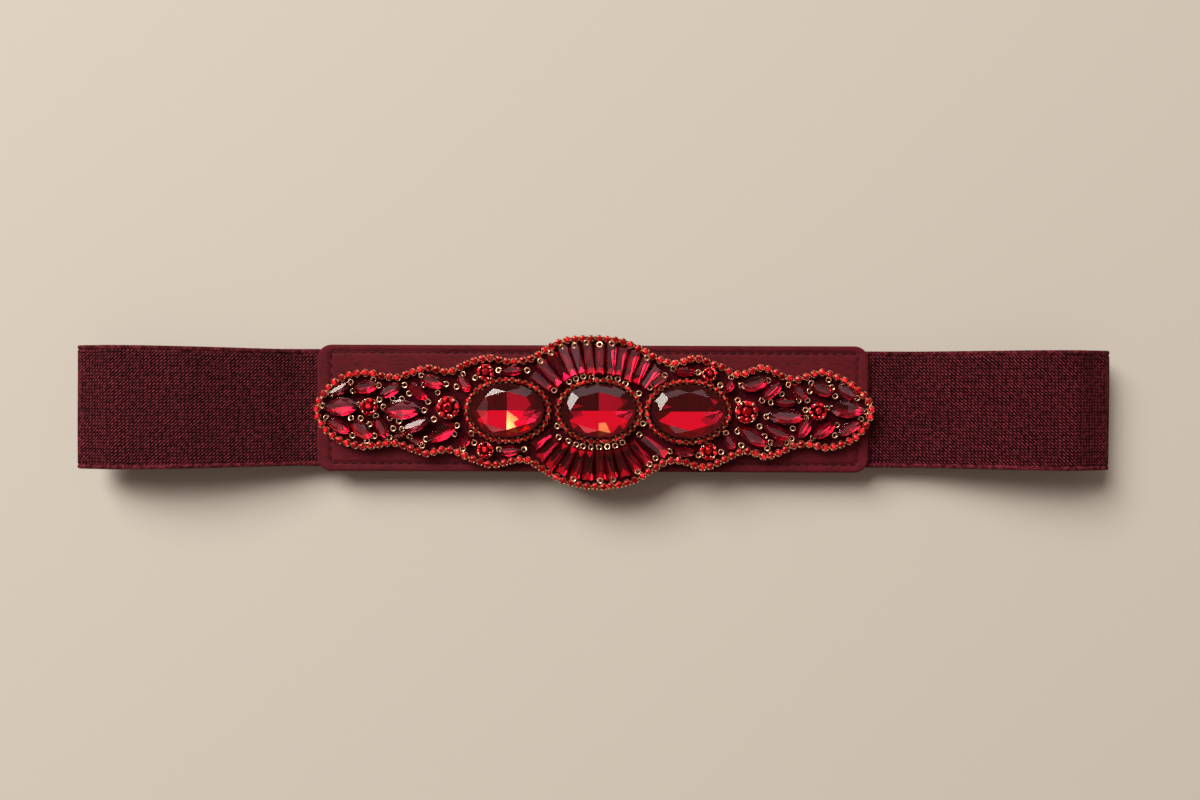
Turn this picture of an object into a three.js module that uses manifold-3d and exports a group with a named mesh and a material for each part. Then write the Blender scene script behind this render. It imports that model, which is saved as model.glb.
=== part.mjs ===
// Elastic jewelled belt, lying closed on a surface: one loop of wide woven elastic, a stitched
// leather-cloth patch over its join, and a jewelled applique on the patch.
// Millimetres. +X runs along the belt to its right fold, +Y across it, +Z up off the surface.
// The origin is on the surface, under the middle of the belt.

import * as THREE from 'three';
import { mergeVertices } from 'three/addons/utils/BufferGeometryUtils.js';
import Module from 'manifold-3d';

// Driving dimensions
const seamGap = 0.3; // between pieces that are sewn on each other
const beltY = 1.3; // the elastic and patch lie a little above the middle of the applique
const elasticWall = 1.4;
const elasticEdge = 0.35; // chamfer along the woven edges
const insideGap = 4.6; // between the front and back of the loop, under the patch
const joinGap = 0.8; // between the elastic's two cut ends, under the patch
const patchSize = { length: 185, width: 42.4, wall: 1.6, corner: 4.8, edge: 0.4, x: -0.4 };
const backingWall = 1.2;
const backingInset = 0.35; // the backing stops just inside the outer rim's edge
const rimChain = { stone: 2.4, pitch: 2.7, height: 2.3 };
const ovalChain = { stone: 1.7, pitch: 2.15, height: 2.1 };
const chainWaist = 0.62; // size between two stones of a chain, as a share of the stone's
const ovalStone = { length: 25, width: 18, height: 6.2, sides: 16 };
const fanStrip = { height: 0.5, inner: 2.6, outer: 2.2 }; // under each fan's stones, from their middles

// The small stones. shoulder is how far up their sides stand straight. base, table and notch are the
// size of the back, the top and the dip between two petals, as shares of the widest line.
const rosetteShape = { height: 3.8, shoulder: 0.55, table: 0.55, petals: 8, notch: 0.86 };
const navetteShape = { height: 3.4, shoulder: 0.35, table: 0.5, base: 0.9 };
const baguetteShape = { height: 3.2, shoulder: 0.55, width: 3.3, innerWidth: 2.7, bevel: 0.65 };

const backZ = elasticWall / 2;
const frontZ = elasticWall + insideGap + elasticWall / 2;

// The middle of the elastic's wall. It starts at the join, runs right along the front, round the
// right fold, back along the surface, round the left fold and forward to the join.
// heading is the way it runs, in degrees above +X, and it turns clockwise all the way round.
const elasticSections = [
  { x: joinGap / 2, z: frontZ, heading: 0, width: 39.2 },
  { x: 96, z: frontZ, heading: 0, width: 39.2 },
  { x: 111, z: 7.6, heading: 9, width: 39.2 },
  { x: 128, z: 11.0, heading: 12, width: 39.4 },
  { x: 148, z: 14.0, heading: 3, width: 39.7 },
  { x: 164.3, z: 12.8, heading: -25, width: 39.8 },
  { x: 171.8, z: 8.6, heading: -90, width: 39.8 },
  { x: 164.3, z: 4.6, heading: -158, width: 39.8 },
  { x: 149, z: backZ, heading: -180, width: 39.9 },
  { x: 0, z: backZ, heading: -180, width: 40 },
  { x: -148, z: backZ, heading: -180, width: 40.4 },
  { x: -163.8, z: 4.8, heading: -203, width: 40.8 },
  { x: -171.8, z: 9.4, heading: -270, width: 41 },
  { x: -163.4, z: 13.6, heading: -338, width: 41 },
  { x: -150, z: 14.6, heading: -360, width: 40.9 },
  { x: -128, z: 12.8, heading: -370, width: 40.2 },
  { x: -111, z: 9.8, heading: -371, width: 39.5 },
  { x: -96, z: frontZ, heading: -360, width: 39.2 },
  { x: -joinGap / 2, z: frontZ, heading: -360, width: 39.2 },
];

// The applique's edge, anticlockwise from its right tip: the crests and hollows of its waves.
const appliqueWaves = [
  { at: 'right tip', x: 93.3, y: 1.4 },
  { at: 'round of the tip', x: 88.9, y: 8.4 },
  { at: 'crest', x: 75.8, y: 14.8 },
  { at: 'hollow', x: 66.4, y: 12.4 },
  { at: 'crest', x: 56, y: 16.3 },
  { at: 'hollow', x: 48.2, y: 14.1 },
  { at: 'rise', x: 41.8, y: 16.8 },
  { at: 'crest', x: 33.3, y: 19.3 },
  { at: 'hollow', x: 26, y: 17.5 },
  { at: 'rise', x: 17.5, y: 21.3 },
  { at: 'shoulder', x: 11, y: 24.4 },
  { at: 'top', x: 1.2, y: 25.8 },
  { at: 'shoulder', x: -8.9, y: 25.2 },
  { at: 'shoulder', x: -13.6, y: 23.7 },
  { at: 'rise', x: -21, y: 19.2 },
  { at: 'hollow', x: -26.5, y: 18 },
  { at: 'crest', x: -34.8, y: 19.1 },
  { at: 'rise', x: -42.8, y: 17.3 },
  { at: 'hollow', x: -48.2, y: 14.6 },
  { at: 'crest', x: -55.1, y: 15.9 },
  { at: 'hollow', x: -66.5, y: 12.7 },
  { at: 'crest', x: -76, y: 14.2 },
  { at: 'round of the tip', x: -86.4, y: 11 },
  { at: 'left tip', x: -93.3, y: 0.8 },
  { at: 'round of the tip', x: -88.7, y: -8 },
  { at: 'crest', x: -77.4, y: -12.6 },
  { at: 'hollow', x: -66.2, y: -11.5 },
  { at: 'crest', x: -55.6, y: -14.9 },
  { at: 'hollow', x: -48.3, y: -13.5 },
  { at: 'rise', x: -41.8, y: -16.2 },
  { at: 'crest', x: -33.6, y: -18.6 },
  { at: 'hollow', x: -23.5, y: -16.8 },
  { at: 'rise', x: -16.6, y: -20.4 },
  { at: 'shoulder', x: -10.8, y: -23.7 },
  { at: 'bottom', x: 1.4, y: -25.8 },
  { at: 'shoulder', x: 12.3, y: -24.2 },
  { at: 'rise', x: 19.2, y: -20.6 },
  { at: 'hollow', x: 26.2, y: -16.9 },
  { at: 'crest', x: 37, y: -19.2 },
  { at: 'hollow', x: 50.3, y: -13.9 },
  { at: 'crest', x: 57.6, y: -15.6 },
  { at: 'hollow', x: 69.3, y: -11.3 },
  { at: 'crest', x: 78.2, y: -12.5 },
  { at: 'round of the tip', x: 88.6, y: -8 },
];

const ovals = [
  { name: 'left', x: -28.7, y: 0.6 },
  { name: 'centre', x: 1.6, y: 0.6 },
  { name: 'right', x: 31.2, y: 0.4 },
];

const rosettes = [
  { x: -74.5, y: 1.7, radius: 3 },
  { x: -48.5, y: 1.5, radius: 3.9 },
  { x: -36, y: 13.2, radius: 2.8 },
  { x: -36, y: -12.5, radius: 2.8 },
  { x: 38.2, y: 12.9, radius: 2.35 },
  { x: 38, y: -12.7, radius: 2.9 },
  { x: 50.6, y: 0.4, radius: 3.9 },
  { x: 74.3, y: 0.7, radius: 3 },
];

// Pointed navette stones. angle is the long axis, in degrees above +X.
const navettes = [
  { x: -83.7, y: 7, length: 8.4, width: 3.2, angle: 30 },
  { x: -83.6, y: 1.6, length: 11.4, width: 5.6, angle: 3 },
  { x: -84.6, y: -4.7, length: 9, width: 3.7, angle: -32 },
  { x: -75.6, y: 8.2, length: 8, width: 4, angle: 12 },
  { x: -67.4, y: 7, length: 8.4, width: 3.8, angle: 27 },
  { x: -63.6, y: 0.6, length: 12.4, width: 6, angle: 0 },
  { x: -58.6, y: 6.9, length: 8.6, width: 3.6, angle: -44 },
  { x: -53.4, y: 10, length: 8, width: 4.2, angle: -18 },
  { x: -58.6, y: -4.8, length: 10.6, width: 3.9, angle: 20 },
  { x: -50.4, y: -6.9, length: 10.8, width: 4.5, angle: 30 },
  { x: -77, y: -5.9, length: 9, width: 4.3, angle: -38 },
  { x: -70.5, y: -5.1, length: 7.6, width: 3.8, angle: -62 },
  { x: -64, y: -8, length: 4.8, width: 1.8, angle: 10 },
  { x: -58.8, y: -9.7, length: 5.2, width: 2.2, angle: -16 },
  { x: -43, y: 9.6, length: 6.6, width: 3.4, angle: -62 },
  { x: -42.7, y: -9.3, length: 5.2, width: 3.2, angle: 58 },
  { x: -27.2, y: 13.7, length: 8, width: 2.9, angle: 3 },
  { x: -27.4, y: -12.9, length: 8, width: 3.2, angle: 6 },
  { x: 83.3, y: 7, length: 8.6, width: 3.5, angle: -30 },
  { x: 84, y: 1.4, length: 11.4, width: 5.6, angle: -3 },
  { x: 84.6, y: -4.9, length: 9.2, width: 3.7, angle: 30 },
  { x: 75.4, y: 7.9, length: 8.4, width: 4, angle: -20 },
  { x: 67.8, y: 6.9, length: 7.4, width: 3.6, angle: -44 },
  { x: 63.6, y: -1.2, length: 12.2, width: 5.2, angle: -3 },
  { x: 63.6, y: 3.6, length: 8.6, width: 2.9, angle: 0 },
  { x: 59.4, y: 7, length: 9, width: 3.6, angle: 44 },
  { x: 53.2, y: 9.7, length: 9, width: 4.4, angle: 18 },
  { x: 60.6, y: -6.4, length: 10, width: 3.8, angle: -24 },
  { x: 52.6, y: -8, length: 11.4, width: 4.3, angle: -30 },
  { x: 76.6, y: -6, length: 8.8, width: 4.2, angle: 38 },
  { x: 70, y: -5.4, length: 7.4, width: 3.7, angle: 62 },
  { x: 61.1, y: -10.1, length: 5, width: 2.1, angle: 8 },
  { x: 44.7, y: 9, length: 5.2, width: 3, angle: 60 },
  { x: 44.8, y: -9.6, length: 5.6, width: 3.4, angle: -60 },
  { x: 30, y: 13.6, length: 7.6, width: 2.9, angle: -2 },
  { x: 30, y: -13, length: 8, width: 2.9, angle: -4 },
];

// Baguettes in the two fans round the centre stone. angle is the long axis, away from that stone.
const fans = {
  top: [
    { x: -17, y: 10.2, length: 7.4, angle: 143 },
    { x: -14.3, y: 12.9, length: 9.6, angle: 130 },
    { x: -11.4, y: 15.2, length: 9.6, angle: 122 },
    { x: -8.4, y: 16.7, length: 9.8, angle: 114 },
    { x: -5.1, y: 17.3, length: 9, angle: 106 },
    { x: -1.7, y: 17.7, length: 9.8, angle: 99 },
    { x: 1.9, y: 17.5, length: 9, angle: 91 },
    { x: 5.5, y: 17.4, length: 9.8, angle: 86 },
    { x: 8.9, y: 16.6, length: 9, angle: 80 },
    { x: 12.2, y: 15.3, length: 9.6, angle: 73 },
    { x: 15.4, y: 13.8, length: 8.6, angle: 65 },
    { x: 18.4, y: 11.6, length: 7.8, angle: 53 },
    { x: 21.2, y: 10.6, length: 5, angle: 40 },
  ],
  bottom: [
    { x: -17, y: -8.7, length: 7, angle: 219 },
    { x: -15.1, y: -11.9, length: 8, angle: 227 },
    { x: -12, y: -14, length: 9.4, angle: 232 },
    { x: -8.7, y: -15.6, length: 9.4, angle: 240 },
    { x: -5.2, y: -16.8, length: 9.6, angle: 254 },
    { x: -1.6, y: -17.1, length: 9.2, angle: 264 },
    { x: 2, y: -17.2, length: 9.4, angle: 272 },
    { x: 5.5, y: -16.9, length: 9.4, angle: 280 },
    { x: 8.9, y: -16.2, length: 9, angle: 289 },
    { x: 12.2, y: -14.9, length: 9.2, angle: 298 },
    { x: 15.3, y: -12.9, length: 9.2, angle: 308 },
    { x: 18, y: -10.4, length: 8.6, angle: 316 },
    { x: 21, y: -10.9, length: 5, angle: 322 },
  ],
};

const material = (color, roughness, metalness = 0) =>
  new THREE.MeshStandardMaterial({ color, roughness, metalness });
const elasticCloth = material(0x4a1420, 0.85);
const patchCloth = material(0x5e1a28, 0.7);
const backingFelt = material(0x3c0d16, 0.95);
const redCrystal = material(0xb00018, 0.08);
const wineCrystal = material(0x6d0a1e, 0.1);
const redChain = material(0xc4202c, 0.2, 0.5);

const radians = THREE.MathUtils.degToRad;

// A closed solid through rings of points that all have the same count. The two end rings are
// capped flat, unless the rings run round on themselves.
function throughRings(rings, { closed = false, capTriangles = null } = {}) {
  const count = rings[0].length;
  const positions = rings.flat().flatMap((point) => [point.x, point.y, point.z]);
  const indices = [];
  const spans = closed ? rings.length : rings.length - 1;
  for (let ring = 0; ring < spans; ring += 1) {
    const here = ring * count;
    const next = ((ring + 1) % rings.length) * count;
    for (let side = 0; side < count; side += 1) {
      const beside = (side + 1) % count;
      indices.push(here + side, here + beside, next + beside);
      indices.push(here + side, next + beside, next + side);
    }
  }
  if (!closed) {
    const last = (rings.length - 1) * count;
    for (const [a, b, c] of capTriangles ?? convexCap(count)) {
      indices.push(c, b, a);
      indices.push(last + a, last + b, last + c);
    }
  }
  return facingOut(positions, indices);
}

function convexCap(count) {
  return Array.from({ length: count - 2 }, (_, i) => [0, i + 1, i + 2]);
}

// Turns the faces round where the ring order has put them inside out.
function facingOut(positions, indices) {
  const corner = (i) => new THREE.Vector3(...positions.slice(3 * i, 3 * i + 3));
  let volume = 0;
  for (let i = 0; i < indices.length; i += 3) {
    const [a, b, c] = [corner(indices[i]), corner(indices[i + 1]), corner(indices[i + 2])];
    volume += a.dot(b.cross(c));
  }
  const geometry = new THREE.BufferGeometry();
  geometry.setAttribute('position', new THREE.Float32BufferAttribute(positions, 3));
  geometry.setIndex(volume < 0 ? indices.reverse() : indices);
  return geometry;
}

// A solid of one outline at several levels. Each level has its height and the outline there.
function stacked(levels) {
  const rings = levels.map(({ z, outline }) => outline.map((p) => new THREE.Vector3(p.x, p.y, z)));
  return throughRings(rings, { capTriangles: THREE.ShapeUtils.triangulateShape(levels[0].outline, []) });
}

// Moves a closed outline inward by a distance. The outline runs anticlockwise.
function inset(outline, distance) {
  return outline.map((point, i) => {
    const before = outline[(i + outline.length - 1) % outline.length];
    const after = outline[(i + 1) % outline.length];
    const along = new THREE.Vector2().subVectors(after, before).normalize();
    return new THREE.Vector2(point.x - along.y * distance, point.y + along.x * distance);
  });
}

const scaled = (outline, factor) => outline.map((p) => p.clone().multiplyScalar(factor));

function ellipse(length, width, sides) {
  return new THREE.EllipseCurve(0, 0, length / 2, width / 2).getPoints(sides).slice(0, sides);
}

// Points spaced evenly along a closed outline, as near to a pitch as fits it.
function evenly(outline, pitch) {
  const loop = [...outline, outline[0]];
  const lengths = [0];
  for (let i = 1; i < loop.length; i += 1) {
    lengths.push(lengths[i - 1] + loop[i].distanceTo(loop[i - 1]));
  }
  const total = lengths[lengths.length - 1];
  const count = Math.round(total / pitch);
  return Array.from({ length: count }, (_, i) => {
    const wanted = (total * i) / count;
    const end = lengths.findIndex((length) => length > wanted);
    const share = (wanted - lengths[end - 1]) / (lengths[end] - lengths[end - 1]);
    return loop[end - 1].clone().lerp(loop[end], share);
  });
}

// The elastic: one strip, its cross-section carried along the loop
function elasticBand() {
  const turnPerStep = 11;
  const lengthPerStep = 14;
  const stations = [];
  elasticSections.slice(0, -1).forEach((from, i) => {
    const to = elasticSections[i + 1];
    const chord = Math.hypot(to.x - from.x, to.z - from.z);
    const turn = Math.abs(to.heading - from.heading);
    const steps = turn === 0 ? 1 : Math.ceil(Math.max(chord / lengthPerStep, turn / turnPerStep));
    for (let step = 0; step < steps; step += 1) {
      stations.push(alongSpan(from, to, chord, step / steps));
    }
  });
  const last = elasticSections[elasticSections.length - 1];
  stations.push(alongSpan(last, last, 1, 0));
  return throughRings(stations.map(elasticRing));
}

// Where the wall is and which way it runs, part of the way between two sections
function alongSpan(from, to, chord, t) {
  const pull = 1.1 * chord;
  const [t2, t3] = [t ** 2, t ** 3];
  const place = [2 * t3 - 3 * t2 + 1, t3 - 2 * t2 + t, 3 * t2 - 2 * t3, t3 - t2];
  const slope = [6 * t2 - 6 * t, 3 * t2 - 4 * t + 1, 6 * t - 6 * t2, 3 * t2 - 2 * t];
  const blend = (weights, axis, turnOf) =>
    weights[0] * from[axis] + weights[1] * pull * turnOf(radians(from.heading))
    + weights[2] * to[axis] + weights[3] * pull * turnOf(radians(to.heading));
  const run = new THREE.Vector2(blend(slope, 'x', Math.cos), blend(slope, 'z', Math.sin)).normalize();
  return {
    x: blend(place, 'x', Math.cos),
    z: blend(place, 'z', Math.sin),
    run,
    width: THREE.MathUtils.lerp(from.width, to.width, t),
  };
}

function elasticRing({ x, z, run, width }) {
  const [side, face] = [width / 2, elasticWall / 2];
  const profile = [
    [side, elasticEdge - face],
    [side, face - elasticEdge],
    [side - elasticEdge, face],
    [elasticEdge - side, face],
    [-side, face - elasticEdge],
    [-side, elasticEdge - face],
    [elasticEdge - side, -face],
    [side - elasticEdge, -face],
  ];
  return profile.map(([y, out]) => new THREE.Vector3(x - run.y * out, beltY + y, z + run.x * out));
}

// The patch: a flat piece of leather cloth with round corners and softened edges
const patchBottom = frontZ + elasticWall / 2 + seamGap;
const patchTop = patchBottom + patchSize.wall;

function patch() {
  const [halfLength, halfWidth] = [patchSize.length / 2, patchSize.width / 2];
  const stepsPerCorner = 6;
  const outline = [];
  for (let quarter = 0; quarter < 4; quarter += 1) {
    const [signX, signY] = [[1, 1], [-1, 1], [-1, -1], [1, -1]][quarter];
    const middle = new THREE.Vector2(
      patchSize.x + signX * (halfLength - patchSize.corner),
      beltY + signY * (halfWidth - patchSize.corner),
    );
    for (let step = 0; step <= stepsPerCorner; step += 1) {
      const angle = (quarter + step / stepsPerCorner) * (Math.PI / 2);
      const spoke = new THREE.Vector2(Math.cos(angle), Math.sin(angle));
      outline.push(spoke.multiplyScalar(patchSize.corner).add(middle));
    }
  }
  return stacked([
    { z: patchBottom, outline: inset(outline, patchSize.edge / 2) },
    { z: patchBottom + patchSize.edge / 2, outline },
    { z: patchTop - patchSize.edge, outline },
    { z: patchTop, outline: inset(outline, patchSize.edge) },
  ]);
}

// The applique's outer edge, as a smooth curve through its waves
function appliqueEdge() {
  const steps = 800;
  const waves = appliqueWaves.map(({ x, y }) => new THREE.Vector3(x, y, 0));
  const edge = new THREE.CatmullRomCurve3(waves, true, 'centripetal').getPoints(steps);
  return edge.slice(0, steps).map(({ x, y }) => new THREE.Vector2(x, y));
}

const backingTop = patchTop + seamGap + backingWall;
const stoneBase = backingTop + seamGap;

function backing() {
  const outline = evenly(inset(appliqueEdge(), backingInset), 4);
  return stacked([
    { z: patchTop + seamGap, outline },
    { z: backingTop, outline },
  ]);
}

// A row of small set stones, as a strip that is wide at each stone and narrow between them
function chain(line, { stone, height }) {
  const rings = line.flatMap((point, i) => {
    const after = line[(i + 1) % line.length];
    const before = line[(i + line.length - 1) % line.length];
    const link = point.clone().lerp(after, 0.5);
    return [
      chainRing(point, after.clone().sub(before), stone, height),
      chainRing(link, after.clone().sub(point), stone * chainWaist, height * chainWaist),
    ];
  });
  return throughRings(rings, { closed: true });
}

function chainRing(point, direction, width, height) {
  const across = new THREE.Vector2(direction.y, -direction.x).normalize();
  const profile = [
    [-0.5, 0],
    [-0.5, 0.6],
    [0, 1],
    [0.5, 0.6],
    [0.5, 0],
  ];
  return profile.map(([side, up]) => {
    const place = point.clone().addScaledVector(across, side * width);
    return new THREE.Vector3(place.x, place.y, stoneBase + up * height);
  });
}

// A large faceted oval: a narrow back, the widest line low down, and a crown that steps in to the table
function oval() {
  const girdle = ellipse(ovalStone.length, ovalStone.width, ovalStone.sides);
  const steps = [
    { rise: 0, size: 0.86 },
    { rise: 0.3, size: 1 },
    { rise: 0.42, size: 1 },
    { rise: 0.76, size: 0.8 },
    { rise: 1, size: 0.52 },
  ];
  return stacked(steps.map(({ rise, size }) => {
    return { z: rise * ovalStone.height, outline: scaled(girdle, size) };
  }));
}

// A flower of small round stones round a middle one
function rosette(radius) {
  const { height, shoulder, table, petals, notch } = rosetteShape;
  const pointsPerPetal = 3;
  const points = petals * pointsPerPetal;
  const outline = Array.from({ length: points }, (_, i) => {
    const reach = radius * (i % pointsPerPetal === 0 ? notch : 1);
    const angle = (2 * Math.PI * i) / points;
    return new THREE.Vector2(reach * Math.cos(angle), reach * Math.sin(angle));
  });
  return stacked([
    { z: 0, outline },
    { z: height * shoulder, outline },
    { z: height, outline: scaled(outline, table) },
  ]);
}

// A pointed stone: two arcs that meet at its ends, with a crown that slopes in to a narrow table
function navette({ length, width }) {
  const { height, shoulder, table, base } = navetteShape;
  const stepsPerSide = 6;
  const radius = (length * length + width * width) / (4 * width);
  const halfTurn = Math.asin(length / 2 / radius);
  const side = new THREE.EllipseCurve(
    0, width / 2 - radius, radius, radius, Math.PI / 2 - halfTurn, Math.PI / 2 + halfTurn,
  ).getPoints(stepsPerSide).slice(0, stepsPerSide);
  const outline = [...side, ...side.map((p) => p.clone().negate())];
  return stacked([
    { z: 0, outline: scaled(outline, base) },
    { z: height * shoulder, outline },
    { z: height, outline: scaled(outline, table) },
  ]);
}

// A step-cut stone with straight sides, a little narrower at its inner end
function baguette(length) {
  const { height, shoulder, width, innerWidth, bevel } = baguetteShape;
  const outline = [
    new THREE.Vector2(-length / 2, -innerWidth / 2),
    new THREE.Vector2(length / 2, -width / 2),
    new THREE.Vector2(length / 2, width / 2),
    new THREE.Vector2(-length / 2, innerWidth / 2),
  ];
  return stacked([
    { z: 0, outline },
    { z: height * shoulder, outline },
    { z: height, outline: inset(outline, bevel) },
  ]);
}

const wasm = await Module();
wasm.setup();

function asSolid(geometry) {
  const merged = mergeVertices(geometry);
  return new wasm.Manifold(new wasm.Mesh({
    numProp: 3,
    vertProperties: new Float32Array(merged.attributes.position.array),
    triVerts: new Uint32Array(merged.index.array),
  }));
}

function asGeometry(solid) {
  const mesh = solid.getMesh();
  const geometry = new THREE.BufferGeometry();
  geometry.setAttribute('position', new THREE.Float32BufferAttribute(mesh.vertProperties, 3));
  geometry.setIndex(Array.from(mesh.triVerts));
  return geometry;
}

// A fan of baguettes, joined by a thin strip beneath them
function baguetteFan(rows) {
  let joined = null;
  const stripEdge = { inner: [], outer: [] };
  for (const { x, y, length, angle } of rows) {
    const turn = radians(angle);
    const stone = asSolid(baguette(length).rotateZ(turn).translate(x, y, stoneBase));
    joined = joined ? joined.add(stone) : stone;
    const along = new THREE.Vector2(Math.cos(turn), Math.sin(turn));
    stripEdge.inner.push(new THREE.Vector2(x, y).addScaledVector(along, -fanStrip.inner));
    stripEdge.outer.push(new THREE.Vector2(x, y).addScaledVector(along, fanStrip.outer));
  }
  const outline = [...stripEdge.inner, ...stripEdge.outer.reverse()];
  if (THREE.ShapeUtils.isClockWise(outline)) {
    outline.reverse();
  }
  const strip = stacked([
    { z: stoneBase, outline },
    { z: stoneBase + fanStrip.height, outline },
  ]);
  return asGeometry(joined.add(asSolid(strip)));
}

const belt = new THREE.Group();

function addPiece(name, geometry, finish, place = null) {
  const mesh = new THREE.Mesh(geometry, finish);
  mesh.name = name;
  if (place) {
    mesh.position.set(place.x, place.y, stoneBase);
    mesh.rotation.z = radians(place.angle ?? 0);
  }
  belt.add(mesh);
}

addPiece('elastic_band', elasticBand(), elasticCloth);
addPiece('patch', patch(), patchCloth);
addPiece('applique_backing', backing(), backingFelt);

const rimLine = evenly(inset(appliqueEdge(), rimChain.stone / 2), rimChain.pitch);
addPiece('outer_rim', chain(rimLine, rimChain), redChain);

for (const { name, x, y } of ovals) {
  const girdle = ellipse(ovalStone.length, ovalStone.width, 180);
  const line = evenly(inset(girdle, -seamGap - ovalChain.stone / 2), ovalChain.pitch);
  const placed = line.map((point) => point.add(new THREE.Vector2(x, y)));
  addPiece(`oval_stone_${name}`, oval(), redCrystal, { x, y });
  addPiece(`oval_rim_${name}`, chain(placed, ovalChain), redChain);
}

rosettes.forEach((row, i) => addPiece(`rosette_${i + 1}`, rosette(row.radius), redCrystal, row));
navettes.forEach((row, i) => addPiece(`navette_${i + 1}`, navette(row), wineCrystal, row));

addPiece('baguette_fan_top', baguetteFan(fans.top), wineCrystal);
addPiece('baguette_fan_bottom', baguetteFan(fans.bottom), wineCrystal);

export default belt;
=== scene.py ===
import math
import random

import bmesh
import bpy
import numpy as np
from mathutils import Matrix, Vector


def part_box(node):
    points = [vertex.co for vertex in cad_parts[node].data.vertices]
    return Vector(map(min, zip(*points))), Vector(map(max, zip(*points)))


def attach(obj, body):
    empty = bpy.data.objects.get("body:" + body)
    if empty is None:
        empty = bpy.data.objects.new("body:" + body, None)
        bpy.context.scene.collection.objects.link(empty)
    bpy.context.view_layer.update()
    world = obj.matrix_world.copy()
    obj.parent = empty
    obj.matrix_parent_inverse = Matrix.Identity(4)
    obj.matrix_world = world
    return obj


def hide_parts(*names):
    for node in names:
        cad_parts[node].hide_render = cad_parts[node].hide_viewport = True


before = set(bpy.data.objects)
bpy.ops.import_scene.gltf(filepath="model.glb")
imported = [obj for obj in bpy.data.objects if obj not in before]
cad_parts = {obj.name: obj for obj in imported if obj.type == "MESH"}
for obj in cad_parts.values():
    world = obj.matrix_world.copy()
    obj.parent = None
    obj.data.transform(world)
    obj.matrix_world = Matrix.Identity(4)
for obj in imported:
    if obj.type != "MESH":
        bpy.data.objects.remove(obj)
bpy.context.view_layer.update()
mm = 0.001
print("frame loaded:", len(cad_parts), "nodes")


# Camera: straight above the belt, close to it, with a wide lens
cameraView = {
    "lens": 28.0,  # mm, on a 36 mm wide sensor
    "over": (2.0, 4.2),  # mm, the point under the picture's middle
    "height": 322.0,  # mm above the surface
    "roll": 0.2,  # degrees, so the belt's right end lies a little lower in the picture
}


def makeCamera():
    data = bpy.data.cameras.new("camera")
    data.lens = cameraView["lens"]
    data.clip_start = 0.01
    camera = bpy.data.objects.new("camera", data)
    bpy.context.scene.collection.objects.link(camera)
    x, y = cameraView["over"]
    camera.location = (x * mm, y * mm, cameraView["height"] * mm)
    camera.rotation_euler = (0, 0, math.radians(cameraView["roll"]))
    bpy.context.scene.camera = camera


makeCamera()


# Light: one soft key from the upper left and a dim room light the belt. The other panels light
# nothing that is matt. They are there for the stones and the gold to mirror.
roomLight = {"colour": "b8a08e", "strength": 0.34}
keyLight = {"at": (-1.842, 2.072, 2.301), "size": (2.1, 2.1), "power": 166.0, "colour": "fff8ee"}
mirroredPanels = {
    "window": {"at": (0.05, 1.62, 1.18), "size": (2.2, 0.95), "power": 9.4, "colour": "ffdce2"},
    "top": {"at": (0.0, 0.56, 1.5), "size": (1.8, 0.6), "power": 2.7, "colour": "ffc4d0"},
    "left": {"at": (-0.66, 0.0, 1.5), "size": (0.8, 0.8), "power": 1.8, "colour": "ffc8d2"},
    "right": {"at": (0.66, 0.0, 1.5), "size": (0.8, 0.8), "power": 1.8, "colour": "ffc8d2"},
    "front": {"at": (-0.54, -1.25, 1.2), "size": (0.83, 0.8), "power": 2.9, "colour": "ffd4da"},
}


def linear(hexColour, alpha=1.0):
    # sRGB hex to the linear numbers that the nodes work in
    channels = [int(hexColour[i:i + 2], 16) / 255 for i in (0, 2, 4)]
    bent = [c / 12.92 if c <= 0.04045 else ((c + 0.055) / 1.055) ** 2.4 for c in channels]
    return (*bent, alpha)


def areaLight(name, at, size, power, colour, mirrored=False):
    data = bpy.data.lights.new(name, "AREA")
    data.shape = "RECTANGLE"
    data.size, data.size_y = size
    data.energy = power
    data.color = linear(colour)[:3]
    light = bpy.data.objects.new(name, data)
    bpy.context.scene.collection.objects.link(light)
    light.visible_diffuse = not mirrored
    light.location = at
    light.rotation_euler = Vector(at).to_track_quat("Z", "Y").to_euler()


def makeLight():
    world = bpy.data.worlds.new("room")
    bpy.context.scene.world = world
    world.use_nodes = True
    background = world.node_tree.nodes["Background"]
    background.inputs["Color"].default_value = linear(roomLight["colour"])
    background.inputs["Strength"].default_value = roomLight["strength"]
    areaLight("key", **keyLight)
    for name, panel in mirroredPanels.items():
        areaLight(name, mirrored=True, **panel)
    bpy.context.scene.view_settings.view_transform = "Standard"


makeLight()
print("camera and light set")


def addNode(material, kind, settings=None, inputs=None):
    # a socket given as an input is linked, and anything else is set
    tree = material.node_tree
    node = tree.nodes.new(kind)
    for name, value in (settings or {}).items():
        setattr(node, name, value)
    for name, value in (inputs or {}).items():
        if isinstance(value, bpy.types.NodeSocket):
            tree.links.new(value, node.inputs[name])
        else:
            node.inputs[name].default_value = value
    return node


socketNames = {
    "metallic": "Metallic",
    "roughness": "Roughness",
    "ior": "IOR",
    "transmission": "Transmission Weight",
    "coat": "Coat Weight",
    "coatRoughness": "Coat Roughness",
    "coatIor": "Coat IOR",
    "sheen": "Sheen Weight",
    "sheenRoughness": "Sheen Roughness",
    "specular": "Specular IOR Level",
}


def newMaterial(name, colour=None, **sockets):
    # a principled surface, whose plain numbers are set on its own sockets
    material = bpy.data.materials.new(name)
    material.use_nodes = True
    surface = material.node_tree.nodes["Principled BSDF"]
    if colour:
        surface.inputs["Base Color"].default_value = linear(colour)
        material.diffuse_color = linear(colour)
    for socket, value in sockets.items():
        surface.inputs[socketNames[socket]].default_value = value
    return material


def calculate(material, operation, *values):
    node = addNode(material, "ShaderNodeMath", {"operation": operation}, dict(enumerate(values)))
    return node.outputs[0]


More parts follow.
